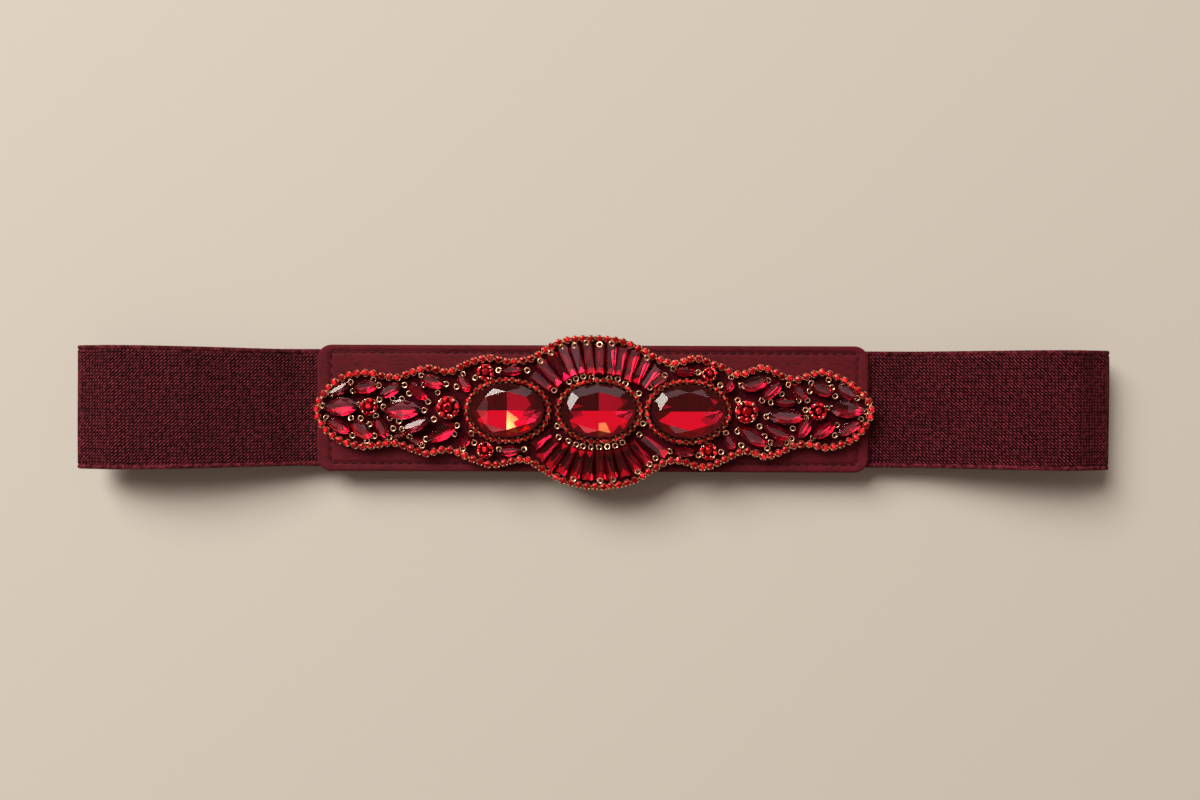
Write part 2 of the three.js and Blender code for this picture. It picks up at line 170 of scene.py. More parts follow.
def noise(material, vector, scale, detail, roughness=0.5, dimensions="3D"):
    node = addNode(material, "ShaderNodeTexNoise", {"noise_dimensions": dimensions},
                   {"Vector": vector, "Scale": scale, "Detail": detail, "Roughness": roughness})
    return node.outputs["Fac"]


def spread(material, value, ends):
    # a noise's usual range, from 0.3 to 0.7, drawn out between two ends
    node = addNode(material, "ShaderNodeMapRange", inputs={
        "Value": value, "From Min": 0.3, "From Max": 0.7, "To Min": ends[0], "To Max": ends[1]})
    return node.outputs[0]


def shaded(material, value, stops):
    # a value turned into colour: each stop is a place from 0 to 1 and its hex colour
    node = addNode(material, "ShaderNodeValToRGB", inputs={"Fac": value})
    elements = node.color_ramp.elements
    first, *between, last = stops
    for element, (place, colour) in zip(elements, (first, last)):
        element.position = place
        element.color = linear(colour)
    for place, colour in between:
        elements.new(place).color = linear(colour)
    return node.outputs["Color"]


def dressed(material, colour, height=None, depth=0.0, strength=1.0):
    # links the colour, and the relief where there is one, with its depth in millimetres
    surface = material.node_tree.nodes["Principled BSDF"]
    material.node_tree.links.new(colour, surface.inputs["Base Color"])
    if height is not None:
        relief = addNode(material, "ShaderNodeBump",
                         inputs={"Height": height, "Distance": depth * mm, "Strength": strength})
        material.node_tree.links.new(relief.outputs["Normal"], surface.inputs["Normal"])
    return material


# Woven polyester elastic: rubber-cored threads lie in raised diagonal ribs of small slubs with pits between
# them, and a smooth woven edge. Its colour follows the relief: painted shade in the pits, painted highlight
# on the slubs
elasticWeave = {
    # the pits' colour is painted shade and the slubs' colour painted highlight, the ground lies between
    "pitShade": "150105",
    "ground": "390a12",
    "slubHighlight": "8e3542",
    "pitch": (1.20, 1.10),  # mm from slub to slub, along the belt and across it
    "rib": 1.0,  # how strongly the diagonal rib stands out
    "lattice": 0.34,  # how strongly each slub stands out on its rib
    "relief": 0.30,  # mm from pit to slub
    "bump": 0.16,  # mm, the finer relief
    # this tone is the woven edge's own, and on the folds it is also a lighter painted band of light
    "edgeAndFoldLightTone": 0.66,  # the woven edge's tone, between the pit's and the slub's
    # painted glints: fine specks where the filaments seem to catch the light, painted into the tone
    "fibres": (-0.34, 0.36),  # how the filaments of the threads catch the light one by one
    "patches": (-0.2, 0.2),  # how whole slubs are paler or darker than their neighbours
    "clouds": (0.86, 1.14),  # and how the tone drifts along the belt
}


def wovenPolyesterElastic():
    weave = elasticWeave
    material = newMaterial("wovenPolyesterElastic", roughness=0.7, specular=0.07)
    cell = addNode(material, "ShaderNodeUVMap", {"uv_map": "weaveCells"}).outputs["UV"]
    axes = addNode(material, "ShaderNodeSeparateXYZ", inputs={"Vector": cell})
    along, across = axes.outputs["X"], axes.outputs["Y"]
    slanted = calculate(material, "SUBTRACT", along, across)
    height = 0.0
    for value, weight in ((slanted, weave["rib"]), (along, weave["lattice"]), (across, weave["lattice"])):
        wave = calculate(material, "COSINE", calculate(material, "MULTIPLY", value, 2 * math.pi))
        height = calculate(material, "MULTIPLY_ADD", wave, weight, height)
    highest = weave["rib"] + 2 * weave["lattice"]
    slubs = addNode(material, "ShaderNodeMapRange", {"interpolation_type": "SMOOTHSTEP"},
                    {"Value": height, "From Min": -1.25, "From Max": highest})
    # the edge tone is mixed in on the woven edge, and on the folds as a painted lighter band
    smooth = addNode(material, "ShaderNodeAttribute", {"attribute_name": "smoothnessAndFoldLight"})
    woven = addNode(material, "ShaderNodeMix", {"data_type": "FLOAT"},
                    {"Factor": smooth.outputs["Fac"], "A": slubs.outputs[0], "B": weave["edgeAndFoldLightTone"]})
    # painted glints along the threads
    fibres = spread(material, noise(material, cell, 2.6, 3.0, 0.8, "2D"), weave["fibres"])
    patches = spread(material, noise(material, cell, 0.75, 1.0, dimensions="2D"), weave["patches"])
    clouds = spread(material, noise(material, cell, 0.09, 3.0, dimensions="2D"), weave["clouds"])
    varied = calculate(material, "ADD", fibres, patches)
    tone = calculate(material, "ADD", woven.outputs["Result"], varied)
    # the relief's tone made colour: dark painted shade in the pits, pale painted highlight on the slubs
    colour = shaded(material, tone, ((0.1, weave["pitShade"]), (0.5, weave["ground"]), (1.0, weave["slubHighlight"])))
    clouded = addNode(material, "ShaderNodeVectorMath", {"operation": "SCALE"},
                      {"Vector": colour, "Scale": clouds})
    return dressed(material, clouded.outputs[0], tone, weave["bump"])


# Suede-finished leather cloth: a knit backed with brushed polyurethane, so it is matt, with a fine
# nap that goes lighter and darker in soft clouds
leatherCloth = {
    "colour": "641520",
    "dark": "451018",
    "nap": 0.35,  # mm between the nap's grains
    "cloud": 9.0,  # mm across one cloud
    "brushing": (2.4, 0.36),  # mm, the length and width of one brushed streak
    "relief": 0.14,  # mm
}


def suedeLeatherCloth():
    cloth = leatherCloth
    material = newMaterial("suedeLeatherCloth", roughness=0.75, sheen=0.02, sheenRoughness=0.4, specular=0.14)
    place = addNode(material, "ShaderNodeTexCoord").outputs["Object"]
    long, wide = cloth["brushing"]
    drawn = addNode(material, "ShaderNodeMapping", inputs={"Vector": place, "Scale": (wide / long, 1.0, 1.0)})
    clouds = noise(material, place, 1 / (cloth["cloud"] * mm), 4.0, 0.65)
    streaks = noise(material, drawn.outputs[0], 1 / (wide * mm), 2.0, 0.6)
    grains = noise(material, place, 1 / (cloth["nap"] * mm), 2.0, 0.7)
    nap = calculate(material, "MULTIPLY_ADD", grains, 0.3, streaks)
    mixed = calculate(material, "MULTIPLY_ADD", clouds, 0.6, nap)
    colour = shaded(material, mixed, ((0.72, cloth["dark"]), (1.0, cloth["colour"])))
    return dressed(material, colour, nap, cloth["relief"], 0.9)


# Pressed felt: matted fibres, so it is dark and without any gloss
felt = {"dark": "2a070e", "pale": "5a1220", "fibres": 1400.0, "relief": 0.15}  # fibres to the metre, mm


def pressedFelt():
    material = newMaterial("pressedFelt", roughness=0.95, specular=0.05)
    place = addNode(material, "ShaderNodeTexCoord").outputs["Object"]
    fibres = noise(material, place, felt["fibres"], 3.0, 0.8)
    colour = shaded(material, fibres, ((0.35, felt["dark"]), (0.7, felt["pale"])))
    return dressed(material, colour, fibres, felt["relief"], 0.8)


# Twisted polyester thread: two plies show as a slant along it, with a faint gloss
thread = {"dark": "1e0409", "pale": "420c15", "plies": 900.0}  # plies to the metre


def twistedPolyesterThread():
    material = newMaterial("twistedPolyesterThread", roughness=0.6, specular=0.2)
    place = addNode(material, "ShaderNodeTexCoord").outputs["Object"]
    plies = addNode(material, "ShaderNodeTexWave", {"bands_direction": "DIAGONAL"},
                    {"Vector": place, "Scale": thread["plies"], "Distortion": 1.0})
    colour = shaded(material, plies.outputs["Fac"], ((0.0, thread["dark"]), (1.0, thread["pale"])))
    return dressed(material, colour)


# Cast and polished glass, ruby tinted: clear faces that mirror the room and bend what is seen through them
def polishedGlass(name, colour):
    return newMaterial(name, colour, roughness=0.0, ior=1.52, transmission=1.0)


# Foil on the back of a glass stone: vacuum-coated metal under red lacquer, a bright tinted mirror
def lacqueredFoil(name, colour, roughness):
    return newMaterial(name, colour, metallic=1.0, roughness=roughness)


# Foiled rhinestone, too small to show its inside: the red mirror and the polished glass over it.
# Its facets take bright, red and deep reds at random, as painted sparkle
def foiledRhinestone(name, colour):
    return newMaterial(name, colour, metallic=0.82, roughness=0.06, coat=0.25, coatRoughness=0.02,
                       coatIor=1.52)


# Gold-plated brass: stamped and tumbled, so it is bright, with soft-edged highlights
def goldPlatedBrass(name, colour, roughness):
    return newMaterial(name, colour, metallic=1.0, roughness=roughness)


finishes = {
    "glass": polishedGlass("rubyTintedGlass", "ffd4d8"),
    "foils": [
        lacqueredFoil("rubyFoil", "b8062a", 0.06),
        lacqueredFoil("crimsonFoil", "a80a26", 0.10),
        lacqueredFoil("wineFoil", "8e0c28", 0.08),
        lacqueredFoil("plumFoil", "6e0c22", 0.22),
        # painted warm reflection: a peach foil for single facets, so that they mirror the key as a warm flash
        lacqueredFoil("paintedPeachFlashFoil", "de9a5c", 0.05),
        lacqueredFoil("mattWineFoil", "8a0e28", 0.6),
    ],
    "rhinestones": [
        foiledRhinestone("brightRhinestone", "f8202c"),
        foiledRhinestone("redRhinestone", "d80e20"),
        foiledRhinestone("deepRhinestone", "7a0614"),
    ],
    "cup": goldPlatedBrass("goldPlatedCup", "e8b486", 0.2),
    # the claws are the cups' gold plating painted paler, as painted highlight
    "claw": goldPlatedBrass("goldPlatedClawPaintedPale", "f8e0bc", 0.2),
    "bead": goldPlatedBrass("goldPlatedBead", "dcbc94", 0.13),
    "felt": pressedFelt(),
    "thread": twistedPolyesterThread(),
}
print("materials made")


def addMesh(name, mesh, replaced=()):
    piece = bpy.data.objects.new(name, mesh)
    bpy.context.scene.collection.objects.link(piece)
    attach(piece, "root")
    if replaced:
        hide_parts(*replaced)
    return piece


def addPiece(name, vertices, faces, materials, replaced=(), smooth=False, numbers=None):
    # vertices are in millimetres, in the frame's own place, and numbers are the faces' material numbers
    mesh = bpy.data.meshes.new(name)
    mesh.from_pydata([tuple(c * mm for c in v) for v in vertices], [], [tuple(f) for f in faces])
    for material in materials:
        mesh.materials.append(material)
    if numbers:
        mesh.polygons.foreach_set("material_index", numbers)
    mesh.polygons.foreach_set("use_smooth", [smooth] * len(mesh.polygons))
    mesh.validate()
    mesh.update()
    return addMesh(name, mesh, replaced)


class Parts:
    # many small solids, each with its own place and material numbers, gathered into one piece
    def __init__(self):
        self.vertices, self.faces, self.numbers = [], [], []

    def add(self, solid, place, numbers=0):
        # numbers is one for each face, or one for all of them
        vertices, faces = solid
        start = len(self.vertices)
        self.vertices += [tuple(place @ Vector(v)) for v in vertices]
        self.faces += [tuple(start + i for i in face) for face in faces]
        self.numbers += [numbers] * len(faces) if isinstance(numbers, int) else numbers

    def makePiece(self, name, materials, slot, replaced=(), smooth=False):
        addPiece(name, self.vertices, self.faces, materials, replaced, smooth, self.numbers)


def tubeFaces(rings, sides, closed=False):
    # the faces of a tube that is given ring by ring. A closed one's last ring meets its first, and
    # an open one has a flat face at each end.
    faces = []
    for ring in range(rings if closed else rings - 1):
        here, after = ring * sides, (ring + 1) % rings * sides
        for k in range(sides):
            j = (k + 1) % sides
            faces.append((here + k, here + j, after + j, after + k))
    if not closed:
        faces.append(tuple(reversed(range(sides))))
        faces.append(tuple(range((rings - 1) * sides, rings * sides)))
    return faces


def turnedOver(faces):
    # the same faces, seen from the other side
    return [(face[0], *face[:0:-1]) for face in faces]


def around(count, start=0.0):
    # angles in radians, evenly round a circle
    return [start + 2 * math.pi * k / count for k in range(count)]


def standing(x, y, z, angle=0.0, tilt=0.0, tiltTowards=0.0):
    # a place in millimetres and degrees: turned by angle, then leaning by tilt
    turned = Matrix.Rotation(math.radians(angle), 4, "Z")
    axis = Vector((-math.sin(math.radians(tiltTowards)), math.cos(math.radians(tiltTowards)), 0))
    leaned = Matrix.Rotation(math.radians(tilt), 4, axis)
    return Matrix.Translation((x, y, z)) @ leaned @ turned


def pointsOf(node):
    # a CAD node's points in millimetres, each once
    found = {tuple(round(c / mm, 3) for c in v.co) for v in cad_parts[node].data.vertices}
    return np.array(sorted(found))


# The elastic: the same path as the frame's band. heading is in degrees above +X.
elasticPath = [
    {"x": 0.4, "z": 6.7, "heading": 0, "width": 39.2},
    {"x": 96, "z": 6.7, "heading": 0, "width": 39.2},
    {"x": 111, "z": 7.6, "heading": 9, "width": 39.2},
    {"x": 128, "z": 11.0, "heading": 12, "width": 39.4},
    {"x": 148, "z": 14.0, "heading": 3, "width": 39.7},
    {"x": 164.3, "z": 12.8, "heading": -25, "width": 39.8},
    {"x": 171.8, "z": 8.6, "heading": -90, "width": 39.8},
    {"x": 164.3, "z": 4.6, "heading": -158, "width": 39.8},
    {"x": 149, "z": 0.7, "heading": -180, "width": 39.9},
    {"x": 0, "z": 0.7, "heading": -180, "width": 40},
    {"x": -148, "z": 0.7, "heading": -180, "width": 40.4},
    {"x": -163.8, "z": 4.8, "heading": -203, "width": 40.8},
    {"x": -171.8, "z": 9.4, "heading": -270, "width": 41},
    {"x": -163.4, "z": 13.6, "heading": -338, "width": 41},
    {"x": -150, "z": 14.6, "heading": -360, "width": 40.9},
    {"x": -128, "z": 12.8, "heading": -370, "width": 40.2},
    {"x": -111, "z": 9.8, "heading": -371, "width": 39.5},
    {"x": -96, "z": 6.7, "heading": -360, "width": 39.2},
    {"x": -0.4, "z": 6.7, "heading": -360, "width": 39.2},
]
elasticBand = {
    "middleY": 1.3,
    "wall": 1.4,
    "pull": 1.1,  # how far each heading carries, as a share of the span
    "frontFrom": 6.0,  # mm above the surface, lower than all of the front
    "shownFrom": 91.0,  # mm from the middle, a little inside the patch's ends
    "risesFrom": 96.0,  # mm from the middle, where the front leaves the patch
    "foldFrom": 155.0,  # mm from the middle
    "steps": {"shown": 0.30, "fold": 0.9, "hidden": 3.6},  # mm along the band
    "edgeSteps": (0.0, 0.1, 0.3, 0.6, 0.95, 1.15, 1.3, 1.45, 1.7),  # mm in from each edge
    "slubColumns": 3,  # columns of faces to a slub
    "innerColumns": 6,
    "innerInset": 0.12,  # mm, how far the inner face's edges stop inside the outer face's
    "edge": {"round": 0.45, "wall": 0.35},  # mm that are rounded, and the share of the wall left there
    "selvedge": {"width": 1.75, "blend": 0.35},  # mm of smooth edge, the last of them blending into the ribs
    "groove": {"depth": 0.34, "at": 1.42, "width": 0.2},  # mm, between the woven edge and the ribs
    # on a fold the ribs are pressed flat, and the same share paints the fold in the lighter edge tone as
    # painted light
    "pressedFoldAndLight": {"share": 0.8, "reach": 4.5},  # how flat the ribs are on a fold, and for how many mm
    "ripple": 0.08,  # mm, how unevenly the cloth lies
}


def hermite(t, ends, runs):
    # places between two ends that are left and reached in the two runs' directions
    place = ((2 * t**3 - 3 * t**2 + 1) * ends[0] + (t**3 - 2 * t**2 + t) * runs[0]
             + (3 * t**2 - 2 * t**3) * ends[1] + (t**3 - t**2) * runs[1])
    run = ((6 * t**2 - 6 * t) * (ends[0] - ends[1]) + (3 * t**2 - 4 * t + 1) * runs[0]
           + (3 * t**2 - 2 * t) * runs[1])
    return place, run / np.linalg.norm(run, axis=1)[:, None]


def elasticStations():
    # the path's points, each with its direction and width: x, z, runX, runZ, width
    band, stations = elasticBand, []
    for first, last in zip(elasticPath, elasticPath[1:]):
        chord = math.hypot(last["x"] - first["x"], last["z"] - first["z"])
        reach = max(abs(first["x"]), abs(last["x"]))
        kind = "fold" if reach > band["foldFrom"] else "hidden"
        if min(first["z"], last["z"]) > band["frontFrom"] and reach > band["risesFrom"]:
            kind = "shown"
        t = np.arange(0, 1, band["steps"][kind] / chord)[:, None]
        ends = np.array([(row["x"], row["z"]) for row in (first, last)])
        headings = [math.radians(row["heading"]) for row in (first, last)]
        runs = np.array([(math.cos(turn), math.sin(turn)) for turn in headings]) * band["pull"] * chord
        width = first["width"] + (last["width"] - first["width"]) * t
        stations.append(np.hstack([*hermite(t, ends, runs), width]))
    final = elasticPath[-1]
    stations.append(np.array([[final["x"], final["z"], 1.0, 0.0, final["width"]]]))
    return np.vstack(stations)


def bandAcross(half):
    # each station's places across the band: the outer face from edge to edge, then the inner face back
    band = elasticBand
    edge = np.array(band["edgeSteps"])
    ribbed = half.min() - edge[-1]
    columns = round(2 * ribbed / elasticWeave["pitch"][1] * band["slubColumns"])
    shares = np.linspace(1, -1, columns + 1)
    outer = np.hstack([half - edge[:-1], shares * (half - edge[-1]), edge[:-1][::-1] - half])
    inner = np.linspace(-1, 1, band["innerColumns"] + 1) * (half - band["innerInset"])
    side = np.concatenate([np.ones(outer.shape[1]), -np.ones(inner.shape[1])])
    return np.hstack([outer, inner]), side


def weaveCells(fromMiddle, y):
    # which slub each point lies on. The threads never run quite straight, so the cells wander.
    u = fromMiddle / elasticWeave["pitch"][0] + 0 * y
    v = y / elasticWeave["pitch"][1]
    wander = 0.13 * np.sin(0.61 * u + 1.3 * np.sin(0.23 * v)) + 0.08 * np.sin(1.7 * v + 0.9 * np.sin(0.4 * u))
    return u + wander, v + 0.10 * np.sin(0.37 * u + 0.5 * v)


def weaveRelief(u, v):
    # from 0 in a pit to 1 on a slub
    weave, deepest = elasticWeave, 1.3
    height = weave["rib"] * np.cos(2 * np.pi * (u - v))
    height += weave["lattice"] * (np.cos(2 * np.pi * u) + np.cos(2 * np.pi * v))
    return (height + deepest) / (weave["rib"] + 2 * weave["lattice"] + deepest)


def makeElastic():
    band = elasticBand
    selvedge, pressedFoldAndLight, groove = band["selvedge"], band["pressedFoldAndLight"], band["groove"]
    stations = elasticStations()
    place, run, half = stations[:, :2], stations[:, 2:4], stations[:, 4:5] / 2
    x, z = place[:, 0:1], place[:, 1:2]
    lengths = np.concatenate([[0], np.cumsum(np.linalg.norm(np.diff(place, axis=0), axis=1))])
    total = lengths[-1]
    y, side = bandAcross(half)
    fromEdge = half - np.abs(y)
    inRound = np.clip(1 - fromEdge / band["edge"]["round"], 0, None)
    rounded = np.sqrt(np.clip(1 - inRound**2, 0, 1))
    folds = [lengths[np.abs(place[:, 0] - end).argmin()] for end in (place[:, 0].max(), place[:, 0].min())]
    fromFold = np.abs(lengths[:, None] - folds).min(axis=1)[:, None]
    smoothnessAndFoldLight = np.clip((selvedge["width"] - fromEdge) / selvedge["blend"], 0, 1)
    # the folds: ribs pressed flat, and painted light in the lighter edge tone
    smoothnessAndFoldLight = np.maximum(smoothnessAndFoldLight, pressedFoldAndLight["share"] * np.exp(-((fromFold / pressedFoldAndLight["reach"]) ** 2)))
    # cells are counted from the middle of the back, so the ribs lean one way on the left arm and
    # the other way on the right one
    u, v = weaveCells(np.abs(lengths - total / 2)[:, None], y)
    shown = (np.abs(x) > band["shownFrom"]) & (z > band["frontFrom"])
    pits = np.where(shown, (1 - weaveRelief(u, v)) * elasticWeave["relief"] * (1 - smoothnessAndFoldLight), 0.0)
    sunk = groove["depth"] * np.exp(-(((fromEdge - groove["at"]) / groove["width"]) ** 2))
    edgeWall = band["edge"]["wall"]
    thick = band["wall"] / 2 * (edgeWall + (1 - edgeWall) * rounded) - np.where(side > 0, sunk + pits, 0)
    # the cloth lies unevenly where nothing holds it: past the patch, and off the surface
    free = np.clip((np.abs(x) - 98) / 12, 0, 1) * np.clip((z - 3) / 4, 0, 1)
    wave = np.sin(x / 9.1 + y / 13) + 0.7 * np.sin(x / 5.3 - y / 7.7 + 1.3)
    out = side * thick + free * band["ripple"] * wave
    points = np.stack([x - run[:, 1:2] * out, band["middleY"] + y, z + run[:, 0:1] * out], axis=2)
    # the stations' rings run the other way round from a tube's, so the faces are turned over
    faces = turnedOver(tubeFaces(*y.shape))
    piece = addPiece("elasticBand", points.reshape(-1, 3), faces, [wovenPolyesterElastic()],
                     ["elastic_band"], smooth=True)
    mesh = piece.data
    corner = np.empty(len(mesh.loops), dtype=np.int64)
    mesh.loops.foreach_get("vertex_index", corner)
    cells = np.stack([u.ravel(), v.ravel()], axis=1)[corner]
    mesh.uv_layers.new(name="weaveCells").data.foreach_set("uv", cells.ravel())
    level = mesh.attributes.new("smoothnessAndFoldLight", "FLOAT", "POINT")
    level.data.foreach_set("value", (smoothnessAndFoldLight + 0 * y).ravel())
    print("elastic made:", round(total), "mm long,", len(mesh.polygons), "faces")


makeElastic()


# The patch: leather cloth, with a row of saddle stitches in a pressed channel all round
patchShape = {
    "corner": 4.8,
    "clear": 0.12,  # mm, how far its face lies under the frame's
    "cutEdge": {"reach": 0.5, "drop": 0.45},  # mm in from the edge, and mm that it is rounded down
    "roll": {"height": 0.125, "at": 1.1, "width": 0.8},  # mm, how the border swells outside the stitches
    "channel": {"depth": 0.46, "width": 0.66, "corner": 1.5, "pucker": 0.35},
    "uneven": 0.05,
    "stitchIn": {"left": 4.6, "right": 3.7, "top": 2.5, "bottom": 2.7},
    "stitchPitch": 3.1,
    "stitch": {"length": 2.45, "width": 0.56, "height": 0.30},
    "stitchLift": 0.06,  # mm, from the channel's floor to the middle of the thread
    "stitchTurn": (-5, 9),  # degrees, as hand-led stitches slant unevenly
    "edgeSteps": (0.0, 0.04, 0.12, 0.25, 0.5, 0.9),  # mm in from the edge, where the first faces end
    "steps": {"seam": 0.33, "field": 0.9},
    "seamZone": 1.6,  # mm on each side of a seam that have the seam's finer steps
}


def roundedGap(x, y, low, high, corner):
    # how far inside a round-cornered rectangle each point is, in millimetres
    dx = np.abs(x - (low[0] + high[0]) / 2) - ((high[0] - low[0]) / 2 - corner)
    dy = np.abs(y - (low[1] + high[1]) / 2) - ((high[1] - low[1]) / 2 - corner)
    return corner - np.hypot(np.maximum(dx, 0), np.maximum(dy, 0)) - np.minimum(np.maximum(dx, dy), 0)


def stitchLine(low, high):
    inset = patchShape["stitchIn"]
    return ((low[0] + inset["left"], low[1] + inset["bottom"]),
            (high[0] - inset["right"], high[1] - inset["top"]))


def gridLine(low, high, seams):
    # places of the grid's lines: close together at the cut edges and along the seams
    shape, steps = patchShape, patchShape["steps"]
    line = [low + step for step in shape["edgeSteps"]]
    at, end = line[-1], high - shape["edgeSteps"][-1]
    while at < end - 0.1:
        near = min(abs(at - seam) for seam in seams) < shape["seamZone"]
        at += steps["seam"] if near else steps["field"]
        line.append(min(at, end - 0.05))
    return line + [high - step for step in reversed(shape["edgeSteps"])]


def cornered(x, y, low, high, corner):
    # the grid is pulled in at each corner, so that its edge follows the round
    middle = [(low[i] + high[i]) / 2 for i in (0, 1)]
    reachX = np.abs(x - middle[0]) - ((high[0] - low[0]) / 2 - corner)
    reachY = np.abs(y - middle[1]) - ((high[1] - low[1]) / 2 - corner)
    inCorner = (reachX > 0) & (reachY > 0)
    size = np.where(inCorner, np.hypot(reachX, reachY), 1.0)
    pull = np.where(inCorner, 1 - np.maximum(reachX, reachY) / size, 0.0)
    return x - np.sign(x - middle[0]) * reachX * pull, y - np.sign(y - middle[1]) * reachY * pull


def makePatch():
    low, high = ([c / mm for c in corner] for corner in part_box("patch"))
    shape, cutEdge = patchShape, patchShape["cutEdge"]
    roll, channel = patchShape["roll"], patchShape["channel"]
    seamLow, seamHigh = stitchLine(low, high)
    lineX = gridLine(low[0], high[0], (seamLow[0], seamHigh[0]))
    lineY = gridLine(low[1], high[1], (seamLow[1], seamHigh[1]))
    x, y = cornered(*np.meshgrid(lineX, lineY, indexing="ij"), low, high, shape["corner"])
    inside = roundedGap(x, y, low, high, shape["corner"])
    fall = np.clip(1 - inside / cutEdge["reach"], 0, 1)
    turned = cutEdge["drop"] * (1 - np.sqrt(1 - fall**2))
    seam = roundedGap(x, y, seamLow, seamHigh, channel["corner"])
    along = np.where(np.abs(seam - (y - seamLow[1])) < np.abs(seam - (x - seamLow[0])), x, y)
    pucker = 1 + channel["pucker"] * np.cos(2 * np.pi * along / shape["stitchPitch"])
    sunk = channel["depth"] * np.exp(-((seam / channel["width"]) ** 2)) * pucker
    swell = roll["height"] * np.exp(-(((inside - roll["at"]) / roll["width"]) ** 2))
    uneven = shape["uneven"] * np.sin(x / 3.7 + 1.1 * np.sin(y / 5.1)) * np.clip(inside / 2, 0, 1)
    topZ = high[2] - shape["clear"] - turned - sunk + swell + uneven
    top = np.stack([x, y, topZ], axis=2).reshape(-1, 3)
    under = np.stack([x, y, low[2] + turned], axis=2).reshape(-1, 3)
    count = x.size
    index = np.arange(count).reshape(x.shape)
    quads = np.stack([index[:-1, :-1], index[1:, :-1], index[1:, 1:], index[:-1, 1:]], axis=2).reshape(-1, 4)
    border = np.concatenate([index[:-1, 0], index[-1, :-1], index[:0:-1, -1], index[0, :0:-1]])
    after = np.roll(border, -1)
    walls = np.stack([after, border, border + count, after + count], axis=1)
    faces = np.vstack([quads, quads[:, ::-1] + count, walls]).tolist()
    piece = addPiece("patchCloth", np.vstack([top, under]), faces, [suedeLeatherCloth()],
                     ["patch"], smooth=True)
    return low, high


def capsule(length, width, height, sides=8, steps=7):
    # a thread's bow: a half-buried rounded bar along X
    vertices = []
    for i in range(steps + 1):
        t = i / steps
        swell = math.sin(math.pi * t) ** 0.45 if 0 < t < 1 else 0.12
        vertices += [((t - 0.5) * length, math.cos(turn) * width / 2 * swell, math.sin(turn) * height * swell)
                     for turn in around(sides)]
    return vertices, tubeFaces(steps + 1, sides)


def makeStitches(low, high):
    shape = patchShape
    (left, bottom), (right, top) = stitchLine(low, high)
    z = high[2] - shape["clear"] - shape["channel"]["depth"] + shape["stitchLift"]
    bow = capsule(**shape["stitch"])
    rng = random.Random(4)
    stitches, made = Parts(), 0
    corners = [(left, bottom), (right, bottom), (right, top), (left, top)]
    for start, end in zip(corners, corners[1:] + corners[:1]):
        count = round(math.dist(start, end) / shape["stitchPitch"])
        angle = math.degrees(math.atan2(end[1] - start[1], end[0] - start[0]))
        for i in range(count):
            x, y = (a + (b - a) * (i + 0.5) / count for a, b in zip(start, end))
            stitches.add(bow, standing(x, y, z, angle + rng.uniform(*shape["stitchTurn"])))
        made += count
    stitches.makePiece("stitching", [finishes["thread"]], "stitching", smooth=True)
    print("patch and stitches made:", made, "stitches")


patchLow, patchHigh = makePatch()
makeStitches(patchLow, patchHigh)


# The felt under the stones: the frame's outline with a softly cut edge
feltEdge = {"round": 0.3, "segments": 3, "profile": 0.6}
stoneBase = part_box("applique_backing")[1].z / mm + 0.3  # where the stones stand, just over the felt


def makeBacking():
    mesh = bmesh.new()
    mesh.from_mesh(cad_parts["applique_backing"].data)
    bmesh.ops.remove_doubles(mesh, verts=mesh.verts, dist=0.01 * mm)
    bmesh.ops.dissolve_limit(mesh, angle_limit=0.01, verts=mesh.verts, edges=mesh.edges)
    rim = [e for e in mesh.edges if abs(e.verts[0].co.z - e.verts[1].co.z) < 1e-6 and len(e.link_faces) == 2
           and abs(e.link_faces[0].normal.dot(e.link_faces[1].normal)) < 0.5]
    bmesh.ops.bevel(mesh, geom=rim, offset=feltEdge["round"] * mm, segments=feltEdge["segments"],
                    affect="EDGES", profile=feltEdge["profile"])
    bmesh.ops.triangulate(mesh, faces=mesh.faces)
    area = sum(f.calc_area() for f in mesh.faces if f.normal.z > 0.9)
    data = bpy.data.meshes.new("backingFelt")
    mesh.to_mesh(data)
    mesh.free()
    data.materials.append(finishes["felt"])
    piece = addMesh("backingFelt", data, ["applique_backing"])


makeBacking()


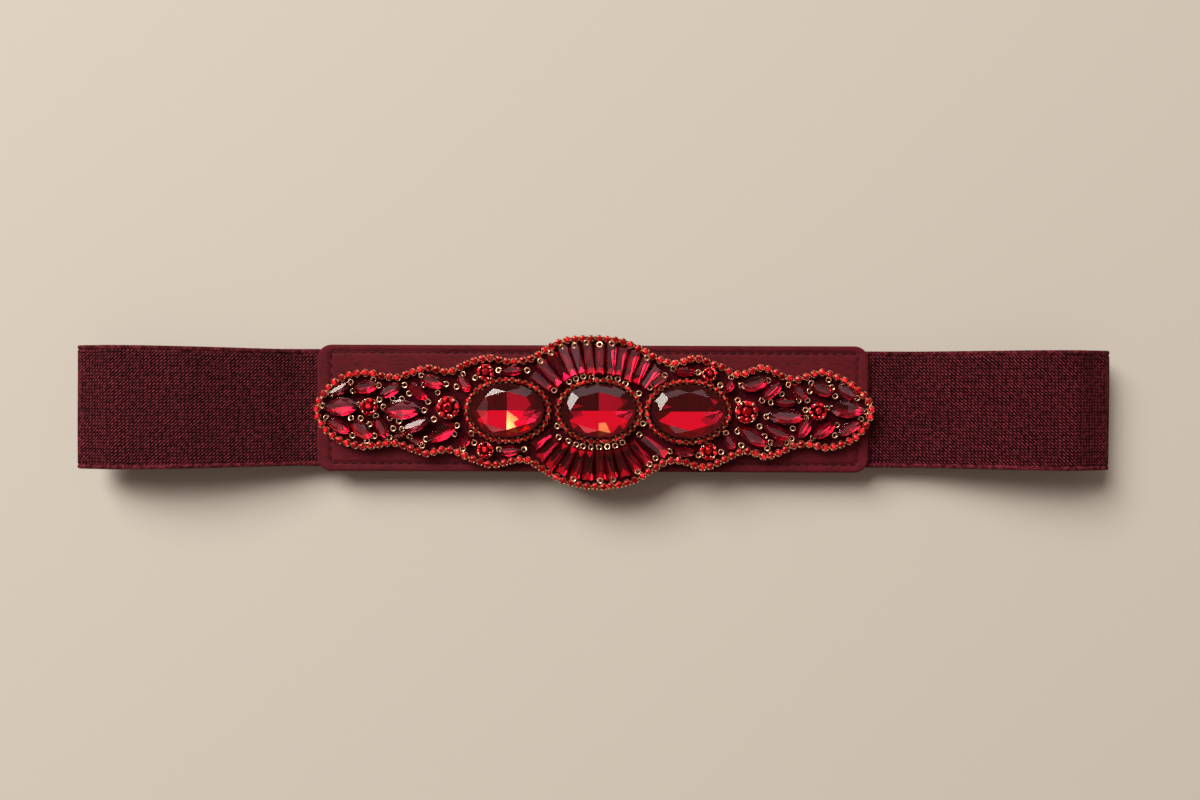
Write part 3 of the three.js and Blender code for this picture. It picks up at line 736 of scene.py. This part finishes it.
# A faceted stone over any outline. outlineAt gives the girdle's point at a share of the way round,
# and the rings of the crown and the back are shares of it. The back is two shallow planes on each
# side of a keel, and a ring of steep facets up to the girdle. Its facets carry a foil's number each.
def facetedStone(outlineAt, mains, cut, rng):
    facets = 2 * mains

    def ring(count, offset, share, z):
        places = [outlineAt((i + offset) / count) for i in range(count)]
        return [(x * share[0], y * share[1], z) for x, y in places]

    def backRing(shares):
        made = []
        for i in range(facets):
            x, y = (c * shares[i % 2] for c in outlineAt(i / facets))
            z = cut["base"] + cut["ridge"] * abs(x) + cut["slope"] * abs(y) + rng.uniform(0, cut["loose"])
            made.append((x, y, z))
        return made

    crownRise = cut["top"] - cut["girdleTop"]
    points = ring(mains, 0, cut["table"], cut["top"])
    points += ring(mains, 0.5, cut["star"], cut["girdleTop"] + crownRise * cut["starRise"])
    points += ring(facets, 0, (1, 1), cut["girdleTop"]) + ring(facets, 0, (1, 1), cut["girdleLow"])
    points += backRing((cut["middle"], cut["middle"]))
    outerBack = backRing(cut["zone"])
    for i in (0, mains):
        x, y, z = outerBack[i]
        outerBack[i] = (x, y, z + cut["endSlope"] * abs(x) * (1 - cut["middle"] / cut["zone"][0]))
    points += outerBack + [(0, 0, cut["base"])]
    table, star, girdle, under = 0, mains, facets, 2 * facets
    middle, zone, centre = 3 * facets, 4 * facets, 5 * facets
    crown, back, foils = [tuple(range(table, table + mains))], [], []
    for j in range(mains):
        after, before = (j + 1) % mains, (j - 1) % mains
        tip, side, far = girdle + 2 * j, girdle + 2 * j + 1, girdle + (2 * j + 2) % facets
        crown.append((table + j, star + j, table + after))
        crown.append((table + j, star + before, tip))
        crown.append((table + j, tip, star + j))
        crown.append((star + j, tip, side))
        crown.append((star + j, side, far))
    for i in range(facets):
        j = (i + 1) % facets
        half = 0 if i < mains else 1
        wall = (girdle + i, under + i, under + j, girdle + j)
        if "wall" in cut["foils"]:
            back.append(wall)
            foils.append(cut["foils"]["wall"])
        else:
            crown.append(wall)
        cells = {
            "inner": [(centre, middle + j, middle + i)],
            "outer": [(middle + i, middle + j, zone + j), (middle + i, zone + j, zone + i)],
            "ring": [(zone + i, zone + j, under + j), (zone + i, under + j, under + i)],
        }
        for name, faces in cells.items():
            back += faces
            foils += [cut.get("flash", {}).get((name, i), cut["foils"][name][half])] * len(faces)
    return points, crown, back, foils


def foilInside(points, faces, gap=0.05):
    # the foil lies just inside the glass, facing up into the stone
    used = sorted({i for face in faces for i in face})
    number = {old: new for new, old in enumerate(used)}
    share = 1 - gap / 4
    moved = [(points[i][0] * share, points[i][1] * share, points[i][2] + gap) for i in used]
    return moved, [tuple(number[i] for i in reversed(face)) for face in faces]


def ellipseOutline(length, width):
    def at(share):
        turn = 2 * math.pi * share
        return (length / 2 * math.cos(turn), width / 2 * math.sin(turn))

    return at


def navetteOutline(length, width):
    radius = (length**2 + width**2) / (4 * width)

    def at(share):
        x = length / 2 * math.cos(2 * math.pi * share)
        y = math.sqrt(max(0.0, radius**2 - x**2)) - (radius - width / 2)
        return (x, y if share % 1 < 0.5 else -y)

    return at


class StoneMaker:
    # one kind of stone: its glass and its foil, each gathered into one piece
    def __init__(self, name, slot):
        self.name, self.slot = name, slot
        self.glass, self.foil, self.nodes = Parts(), Parts(), []

    def add(self, stone, place, nodes=()):
        points, crown, back, foils = stone
        self.glass.add((points, crown + back), place)
        self.foil.add(foilInside(points, back), place, foils)
        self.nodes += list(nodes)

    def finish(self):
        self.glass.makePiece(self.name + "Glass", [finishes["glass"]], self.slot, self.nodes)
        self.foil.makePiece(self.name + "Foil", finishes["foils"], self.slot)


# Large oval stones. Shares are of the widest line, along and across, and heights are in millimetres
# from the felt. Each tilt is in degrees, towards an angle counted from the belt's right. A foil
# is given by its place in the list of foils, for the half above the keel and the half below it: the half
# below has the brighter ruby foil and the half above the darker wine one, as painted light on the lower
# side. flash gives single facets another foil: the peach one as a painted warm reflection, and darker
# ones that break up the painted bright half.
ovalCut = {"top": 6.1, "girdleTop": 4.3, "girdleLow": 3.0, "base": 0.15, "table": (0.76, 0.70),
           "star": (0.90, 0.88), "starRise": 0.42, "middle": 0.46, "zone": (0.90, 0.80), "slope": 0.255,
           "ridge": 0.045, "endSlope": 0.12, "loose": 0.0, "mains": 8,
           "foils": {"inner": (2, 0), "outer": (2, 0), "ring": (5, 5), "wall": 5}}
ovals = {
    "left": {"tilt": 1.2, "towards": 150, "flash": {("inner", 12): 4, ("inner", 13): 4, ("outer", 12): 4,
                                                    ("outer", 14): 2, ("outer", 15): 3}},
    "centre": {"tilt": 0.6, "towards": -60, "flash": {("outer", 12): 4, ("outer", 8): 2, ("outer", 15): 3}},
    "right": {"tilt": 1.0, "towards": 100, "flash": {("outer", 15): 3, ("outer", 14): 2}},
}


def makeOvals():
    maker = StoneMaker("oval", "oval_crystal")
    rng = random.Random(3)
    for side, oval in ovals.items():
        node = "oval_stone_" + side
        low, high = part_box(node)
        middle = (low + high) / 2 / mm
        size = (high - low) / mm
        cut = dict(ovalCut, flash=oval["flash"])
        stone = facetedStone(ellipseOutline(size.x, size.y), cut["mains"], cut, rng)
        maker.add(stone, standing(middle.x, middle.y, low.z / mm, 0, oval["tilt"], oval["towards"]), [node])
    maker.finish()
    print("ovals made")


makeOvals()


def nodesNamed(*starts):
    return sorted(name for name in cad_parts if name.startswith(starts))


def longAxis(points):
    # middle, length, width and angle of a pointed stone, from its plan
    plan = points[:, :2]
    gaps = np.linalg.norm(plan[:, None] - plan[None], axis=2)
    a, b = np.unravel_index(gaps.argmax(), gaps.shape)
    along = (plan[b] - plan[a]) / gaps[a, b]
    along *= 1 if along[0] > 0 else -1
    middle = (plan[a] + plan[b]) / 2
    width = 2 * np.abs((plan - middle) @ np.array([-along[1], along[0]])).max()
    return middle, gaps[a, b], width, math.degrees(math.atan2(along[1], along[0]))


# Navettes: cut like the ovals, but pointed, and a little larger than the frame's stones
# the lower half's outer facets and ring take redder foils than the plum of the upper half: painted light on
# the lower side
navetteCut = {"grow": (1.10, 1.16), "top": 3.3, "girdleTop": 2.2, "girdleLow": 1.5, "base": 0.1,
              "table": (0.72, 0.48), "star": (0.86, 0.76), "starRise": 0.4, "middle": 0.5,
              "zone": (0.84, 0.86), "slope": 0.19, "ridge": 0.02, "endSlope": 0.15, "loose": 0.06,
              "mains": 6, "paintedLowerLightFoils": (1, 1, 2), "lean": (1, 6), "towards": (40, 140)}
# the stones that lean far enough to mirror the light, with their lean and its direction in degrees
leaning = {"navette_1": (20, 133), "navette_9": (19, 130), "navette_18": (14, 150), "navette_26": (19, 135),
           "navette_30": (20, 124), "navette_31": (19, 132)}


def makeNavettes():
    maker = StoneMaker("navette", "navette_crystal")
    rng = random.Random(11)
    ends = []
    longer, wider = navetteCut["grow"]
    for node in nodesNamed("navette_"):
        middle, length, width, angle = longAxis(pointsOf(node))
        # redder foils below the keel than above it, as painted light on the lower side
        foils = {"inner": (3, 3), "outer": (3, rng.choice(navetteCut["paintedLowerLightFoils"])), "ring": (3, 2)}
        outline = navetteOutline(length * longer, width * wider)
        stone = facetedStone(outline, navetteCut["mains"], dict(navetteCut, foils=foils), rng)
        lean, towards = rng.uniform(*navetteCut["lean"]), rng.uniform(*navetteCut["towards"])
        lean, towards = leaning.get(node, (lean, towards))
        maker.add(stone, standing(*middle, stoneBase, angle, lean, towards), [node])
        along = np.array([math.cos(math.radians(angle)), math.sin(math.radians(angle))])
        ends += [middle + along * length / 2, middle - along * length / 2]
    maker.finish()
    print("navettes made")
    return ends


navetteEnds = makeNavettes()


# Baguettes: step cut, wider at the outer end, with a shallow keel along the back
baguetteCut = {"bevel": 0.40, "width": 3.45, "innerWidth": 2.7, "top": 3.1, "girdleTop": 2.65,
               "girdleLow": 1.05, "base": 0.45, "keel": 0.46,
               "turn": (-2, 2), "lean": (3.0, 7.5), "towards": (-35, 35),  # degrees, uneven as sewn
               "flatInset": 0.65,  # how far the frame's flat tops stop inside the stones' ends
               "sideFoils": (1, 2, 2, 3, 3), "endFoils": (0, 1, 1, 2)}
fanMiddle = np.array([1.6, 0.6])


def stepCut(length, cut, sideFoil, endFoil):
    # the stone lies along X, with its wide end at +X
    points, rings = [], []
    for inset, z in ((cut["bevel"], cut["top"]), (0, cut["girdleTop"]), (0, cut["girdleLow"])):
        x, wide, narrow = length / 2 - inset, cut["width"] / 2 - inset, cut["innerWidth"] / 2 - inset
        rings.append(len(points))
        points += [(x, wide, z), (-x, narrow, z), (-x, -narrow, z), (x, -wide, z)]
    keel = length / 2 * cut["keel"]
    low, right, left = rings[2], len(points), len(points) + 1
    points += [(keel, 0, cut["base"]), (-keel, 0, cut["base"])]
    crown = [tuple(range(4))]
    for upper, lower in zip(rings, rings[1:]):
        for i in range(4):
            j = (i + 1) % 4
            crown.append((upper + i, lower + i, lower + j, upper + j))
    pavilion = [(low + 1, low, right, left), (low + 3, low + 2, left, right)]
    pavilion += [(low + 2, low + 1, left), (low, low + 3, right)]
    return points, crown, pavilion, [sideFoil, sideFoil, endFoil, endFoil]


def topPatches(node):
    # the flat tops of a fan's stones, each as the points of one patch
    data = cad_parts[node].data
    top = max(v.co.z for v in data.vertices)
    patches = []
    for face in data.polygons:
        corners = [data.vertices[i].co for i in face.vertices]
        if any(top - c.z > 0.02 * mm for c in corners):
            continue
        keys = {tuple(round(v / mm, 2) for v in c.xy) for c in corners}
        touching = [p for p in patches if p & keys]
        for patch in touching:
            patches.remove(patch)
            keys |= patch
        patches.append(keys)
    return [np.array(sorted(p)) for p in patches]


def makeBaguettes():
    cut, maker = baguetteCut, StoneMaker("baguette", "baguette_crystal")
    rng = random.Random(21)
    ends = []
    for node in ("baguette_fan_top", "baguette_fan_bottom"):
        for patch in topPatches(node):
            middle = patch.mean(axis=0)
            along = np.linalg.svd(patch - middle)[2][0]
            if along @ (middle - fanMiddle) < 0:
                along = -along
            length = np.ptp((patch - middle) @ along) + 2 * cut["flatInset"]
            angle = math.degrees(math.atan2(along[1], along[0]))
            turn, lean = rng.uniform(*cut["turn"]), rng.uniform(*cut["lean"])
            place = standing(*middle, stoneBase, angle + turn, lean, angle + rng.uniform(*cut["towards"]))
            sideFoil, endFoil = rng.choice(cut["sideFoils"]), rng.choice(cut["endFoils"])
            maker.add(stepCut(length, cut, sideFoil, endFoil), place)
            ends.append((middle - along * length / 2, middle + along * length / 2, along))
        maker.nodes.append(node)
    maker.finish()
    print("baguettes made:", len(ends))
    return ends


baguetteEnds = makeBaguettes()


# Rhinestones. A crown has a table, a ring of star facets and a ring down to its edge, and each is
# a share of the radius. tones are the numbers that its facets' reds are drawn from: bright, red and
# deep at random, as painted sparkle that stands in for facets catching and missing the light.
rhinestoneCut = {"table": 0.56, "star": 0.82, "starRise": 0.55, "under": 0.94, "tones": (0, 0, 1, 1, 2)}


def smallStone(radius, height, rise, sides=6):
    cut, lift = rhinestoneCut, height - rise
    rings = ((cut["table"], height, 0.5), (cut["star"], lift + (height - lift) * cut["starRise"], 0.0),
             (1.0, lift, 0.5), (cut["under"], 0.1, 0.5))
    vertices = []
    for share, z, offset in rings:
        for turn in around(sides, 2 * math.pi * offset / sides):
            vertices.append((radius * share * math.cos(turn), radius * share * math.sin(turn), z))
    faces = [tuple(range(sides))]
    table, star, edge, under = (ring * sides for ring in range(4))
    for k in range(sides):
        j = (k + 1) % sides
        faces.append((table + k, star + j, table + j))
        faces.append((table + k, star + k, edge + k))
        faces.append((table + k, edge + k, star + j))
        faces.append((star + j, edge + k, edge + j))
        faces.append((edge + k, under + k, under + j, edge + j))
    faces.append(tuple(reversed(range(under, under + sides))))
    return vertices, faces


# painted sparkle: each facet a bright, red or deep red at random
def paintedSparkleTones(rng, solid, tones=rhinestoneCut["tones"]):
    return [rng.choice(tones) for _ in solid[1]]


def cupWall(radius, height, sides=20, wall=0.16):
    # the stamped ring that a round stone sits in
    vertices = []
    for r, z in ((radius - wall, 0), (radius, 0), (radius, height), (radius - wall, height)):
        vertices += [(r * math.cos(turn), r * math.sin(turn), z) for turn in around(sides)]
    return vertices, tubeFaces(4, sides, closed=True)


# Rhinestone chain: each stone in a stamped cup with four points, joined to the next by a bar.
# The cup's measures are shares of its radius and height.
chainCup = {"stone": 0.91, "rise": 0.42, "lean": 9.0, "wall": 0.16, "wallHeight": 0.45,
            "points": {"count": 4, "width": 0.25, "thick": (0.14, 0.08),
                       "path": ((1.02, 0.0, 1.0), (1.0, 0.72, 0.9), (0.70, 0.92, 0.35))},
            "bar": {"width": 0.3, "low": 0.25, "high": 0.6}}
chains = {"outer_rim": {"piece": "outerRim", "radius": 1.26, "height": 2.2}}
for side in ovals:
    chains["oval_rim_" + side] = {"piece": "ovalRim" + side.capitalize(), "radius": 0.96, "height": 2.1}


def chainPlaces(node):
    # where the stones of a chain stand, in order, from the peaks of the frame's strip
    points = pointsOf(node)
    peaks = points[points[:, 2] > points[:, 2].max() - 0.02][:, :2]
    order = [0]
    left = set(range(1, len(peaks)))
    while left:
        nearest = min(left, key=lambda i: np.linalg.norm(peaks[i] - peaks[order[-1]]))
        order.append(nearest)
        left.remove(nearest)
    return peaks[order]


def cupPoint(radius, height, turn):
    # a thin plate that rises outside the stone and bends in over it, narrower towards its tip
    shape = chainCup["points"]
    tip = Vector((math.cos(turn), math.sin(turn), 0))
    side = Vector((-math.sin(turn), math.cos(turn), 0)) * radius * shape["width"]
    outer = []
    for reach, rise, share in shape["path"]:
        place = tip * radius * reach + Vector((0, 0, height * rise))
        outer += [place - side * share, place + side * share]
    inner = [p - tip * shape["thick"][0] - Vector((0, 0, shape["thick"][1])) for p in outer]
    plates = [(0, 1, 3, 2), (2, 3, 5, 4), (7, 6, 8, 9), (9, 8, 10, 11), (0, 2, 8, 6), (2, 4, 10, 8),
              (3, 1, 7, 9), (5, 3, 9, 11), (4, 5, 11, 10), (1, 0, 6, 7)]
    return outer + inner, plates


def chainBar(link):
    shape = chainCup["bar"]
    bar = [(x, y, z) for x in (0, link) for y in (-shape["width"], shape["width"])
           for z in (shape["low"], shape["high"])]
    return bar, [(0, 1, 3, 2), (4, 6, 7, 5), (0, 4, 5, 1), (2, 3, 7, 6), (1, 5, 7, 3), (0, 2, 6, 4)]


def makeChains():
    rng = random.Random(8)
    lines = {}
    for node, chain in chains.items():
        places = chainPlaces(node)
        radius, height = chain["radius"], chain["height"]
        stones, cups = Parts(), Parts()
        for i, (x, y) in enumerate(places):
            after, before = places[(i + 1) % len(places)], places[i - 1]
            angle = math.degrees(math.atan2(*(after - before)[::-1]))
            place = standing(x, y, stoneBase, angle, rng.uniform(0, chainCup["lean"]), rng.uniform(0, 360))
            stone = smallStone(radius * chainCup["stone"], height, chainCup["rise"])
            stones.add(stone, place, paintedSparkleTones(rng, stone))
            cups.add(cupWall(radius, height * chainCup["wallHeight"], 12, chainCup["wall"]), place)
            cups.add(chainBar(np.linalg.norm(after - places[i])), place)
            for turn in around(chainCup["points"]["count"], math.radians(45)):
                cups.add(cupPoint(radius, height, turn), place, 1)
        stones.makePiece(chain["piece"] + "Stones", finishes["rhinestones"], "rhinestone_chain", [node])
        cups.makePiece(chain["piece"] + "Cups", [finishes["cup"], finishes["claw"]], "gold_setting")
        lines[node] = places
    print("chains made:", sum(len(line) for line in lines.values()), "stones")
    return lines


chainLines = makeChains()


# Rosettes: a round stone with a ring of small ones round it, held by claws. Shares are of the radius,
# and the spans in degrees are how unevenly the stones and claws were set.
rosette = {"height": 3.1, "rise": 0.45, "middle": 0.45, "middleTones": (0, 1, 1, 2), "cup": (0.99, 1.5),
           "turn": (0, 40), "lean": (3, 6), "towards": (60, 120),
           "ring": {"count": 8, "stone": 0.295, "at": 0.71, "height": 2.7, "rise": 0.35,
                    "turn": (0, 45), "lean": (4, 16), "towards": (-50, 50)},
           "claws": {"count": 4, "width": 0.25, "thick": 0.45, "turn": 38.0, "uneven": (-14, 14),
                     "height": 2.75}}


def claw(radius, width, thick, height, sides=6):
    # a prong that rises outside the stone and bends in over its edge, ending in a round tip
    path = [(radius + 0.02, 0.2), (radius + 0.04, height * 0.55), (radius - 0.02, height * 0.82),
            (radius - 0.28 * radius / 3, height), (radius - 0.75 * radius / 3, height + 0.18)]
    vertices, last = [], len(path) - 1
    for i, (r, z) in enumerate(path):
        shrink = 0.55 if i == last else 1.0
        after, before = path[min(i + 1, last)], path[max(i - 1, 0)]
        slope = math.atan2(after[1] - before[1], after[0] - before[0])
        for turn in around(sides):
            across = math.cos(turn) * width / 2 * shrink
            up = math.sin(turn) * thick / 2 * shrink
            vertices.append((r - math.sin(slope) * up, across, z + math.cos(slope) * up))
    return vertices, tubeFaces(len(path), sides)


def makeRosettes():
    claws, stones = Parts(), Parts()
    nodes = nodesNamed("rosette_")
    rng = random.Random(5)
    ring, shape = rosette["ring"], rosette["claws"]
    cupShare, cupHeight = rosette["cup"]
    for node in nodes:
        low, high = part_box(node)
        x, y = ((low + high) / 2 / mm).xy
        radius = (high.x - low.x) / 2 / mm
        start = rng.uniform(*rosette["turn"])
        stone = smallStone(radius * rosette["middle"], rosette["height"], rosette["rise"], sides=8)
        lean, towards = rng.uniform(*rosette["lean"]), rng.uniform(*rosette["towards"])
        place = standing(x, y, stoneBase, start, lean, towards)
        stones.add(stone, place, paintedSparkleTones(rng, stone, rosette["middleTones"]))
        stone = smallStone(radius * ring["stone"], ring["height"], ring["rise"])
        for turn in around(ring["count"], math.radians(start)):
            reach = radius * ring["at"]
            spin, lean = rng.uniform(*ring["turn"]), rng.uniform(*ring["lean"])
            towards = math.degrees(turn) + rng.uniform(*ring["towards"])
            place = standing(x + reach * math.cos(turn), y + reach * math.sin(turn), stoneBase, spin, lean,
                             towards)
            stones.add(stone, place, paintedSparkleTones(rng, stone))
        claws.add(cupWall(radius * cupShare, cupHeight), standing(x, y, stoneBase))
        for i in range(shape["count"]):
            turn = shape["turn"] + 360 / shape["count"] * i + rng.uniform(*shape["uneven"])
            bent = claw(radius, shape["width"] * radius, shape["thick"], shape["height"])
            claws.add(bent, standing(x, y, stoneBase, turn))
    stones.makePiece("rosetteStones", finishes["rhinestones"], "rosette_crystal", nodes)
    claws.makePiece("rosetteClaws", [finishes["claw"]], "gold_setting", smooth=True)
    print("rosettes made")


makeRosettes()


# Gold beads: short rings sewn down at the ends of the stones and in the gaps between them
bead = {"outer": 2.2, "wall": 0.66, "height": 0.34, "slope": 32.0, "lean": 30.0,
        "apart": 2.1, "clear": 0.7, "offRim": 1.9, "fillers": 30, "tries": 4000, "field": (92, 24),
        "ends": {"share": 0.8, "apart": 1.9, "inner": (-0.6, 1.3), "outer": (0.1, 1.9)},
        "points": {"reach": (0.3, 1.1), "clear": 0.3, "lift": 1.3}, "gapLift": 0.6,
        "near": 16}  # mm, past which a stone is too far off to be in a bead's way


def beadRing(outer, wall, height, sections=18, sides=8):
    # a short ring whose top slopes down into its hole
    vertices = []
    radius = (outer - wall) / 2
    lean = math.radians(bead["slope"])
    for turn in around(sections):
        for roll in around(sides):
            across, up = wall / 2 * math.cos(roll), height / 2 * math.sin(roll)
            r = radius + across * math.cos(lean) - up * math.sin(lean)
            z = across * math.sin(lean) + up * math.cos(lean)
            vertices.append((r * math.cos(turn), r * math.sin(turn), z))
    return vertices, turnedOver(tubeFaces(sections, sides, closed=True))


def crossOf(a, b, c):
    return (b[0] - a[0]) * (c[1] - a[1]) - (b[1] - a[1]) * (c[0] - a[0])


def hullOf(points):
    # the convex outline of a stone's plan, anticlockwise
    ordered = sorted({tuple(p) for p in points[:, :2]})

    def half(line):
        made = []
        for p in line:
            while len(made) > 1 and crossOf(made[-2], made[-1], p) <= 0:
                made.pop()
            made.append(p)
        return made[:-1]

    return np.array(half(ordered) + half(ordered[::-1]))


def gapTo(hull, point):
    # distance from a point to a convex outline, below zero inside it
    after = np.roll(hull, -1, axis=0)
    edge = after - hull
    share = np.clip(((point - hull) * edge).sum(1) / (edge**2).sum(1), 0, 1)
    gap = np.linalg.norm(hull + edge * share[:, None] - point, axis=1).min()
    turn = edge[:, 0] * (point - hull)[:, 1] - edge[:, 1] * (point - hull)[:, 0]
    return -gap if (turn > 0).all() else gap


def insideLine(line, point):
    after = np.roll(line, -1, axis=0)
    (x, y), (nextX, nextY) = line.T, after.T
    crossing = (y > point[1]) != (nextY > point[1])
    reach = x + (point[1] - y) / (nextY - y + 1e-12) * (nextX - x)
    return bool((crossing & (point[0] < reach)).sum() % 2)


def makeBeads():
    rng = random.Random(17)
    stones = [hullOf(pointsOf(node)) for node in nodesNamed("navette_", "rosette_", "oval_stone_")]
    for inner, outer, along in baguetteEnds:
        side = np.array([-along[1], along[0]]) * baguetteCut["width"] / 2
        stones.append(hullOf(np.array([inner - side, outer - side, outer + side, inner + side])))
    middles = np.array([hull.mean(axis=0) for hull in stones])
    rims = np.vstack(list(chainLines.values()))
    placed, ends, points = [], bead["ends"], bead["points"]

    def isApart(point, apart):
        return all(np.linalg.norm(point - q) > apart for q, _ in placed)

    def isFree(point, clear, apart):
        if not insideLine(chainLines["outer_rim"], point):
            return False
        if np.linalg.norm(rims - point, axis=1).min() < bead["offRim"]:
            return False
        if not isApart(point, apart):
            return False
        near = np.abs(middles - point).max(axis=1) < bead["near"]
        return all(gapTo(stones[i], point) > clear for i in np.flatnonzero(near))

    for inner, outer, along in baguetteEnds:
        for end, (shift, lift) in ((inner, ends["inner"]), (outer, ends["outer"])):
            point = end + along * shift
            if rng.random() < ends["share"] and isApart(point, ends["apart"]):
                placed.append((point, lift))
    for end in navetteEnds:
        ways = [np.array([math.cos(turn), math.sin(turn)]) for turn in np.linspace(0, 6.28, 9)]
        spots = [end + rng.uniform(*points["reach"]) * way for way in ways]
        rng.shuffle(spots)
        for spot in spots:
            if isFree(spot, points["clear"], bead["apart"]):
                placed.append((spot, points["lift"]))
                break
    left = bead["fillers"]
    halfLength, halfWidth = bead["field"]
    for _ in range(bead["tries"]):
        point = np.array([rng.uniform(-halfLength, halfLength), rng.uniform(-halfWidth, halfWidth)])
        if left and isFree(point, bead["clear"], bead["apart"] + 0.5):
            placed.append((point, bead["gapLift"]))
            left -= 1
    ring = beadRing(bead["outer"], bead["wall"], bead["height"])
    beads = Parts()
    for point, lift in placed:
        # most lie nearly flat, and a few stand well up
        lean = bead["lean"] * rng.random() ** 2.2
        beads.add(ring, standing(*point, stoneBase + lift, 0, lean, rng.uniform(0, 360)))
    beads.makePiece("goldBeads", [finishes["bead"]], "seed_beads", smooth=True)
    print("beads made:", len(placed))


makeBeads()


# The plain pale surface that the belt lies on, 6 m each way and just under the belt
def makeFloor():
    corners = [(x, y, -0.0001) for x, y in ((-3, -3), (3, -3), (3, 3), (-3, 3))]
    mesh = bpy.data.meshes.new("floor")
    mesh.from_pydata(corners, [], [(0, 1, 2, 3)])
    mesh.materials.append(newMaterial("palePaper", "dbd7cf", roughness=0.9))
    floor = bpy.data.objects.new("floor", mesh)
    bpy.context.scene.collection.objects.link(floor)


makeFloor()
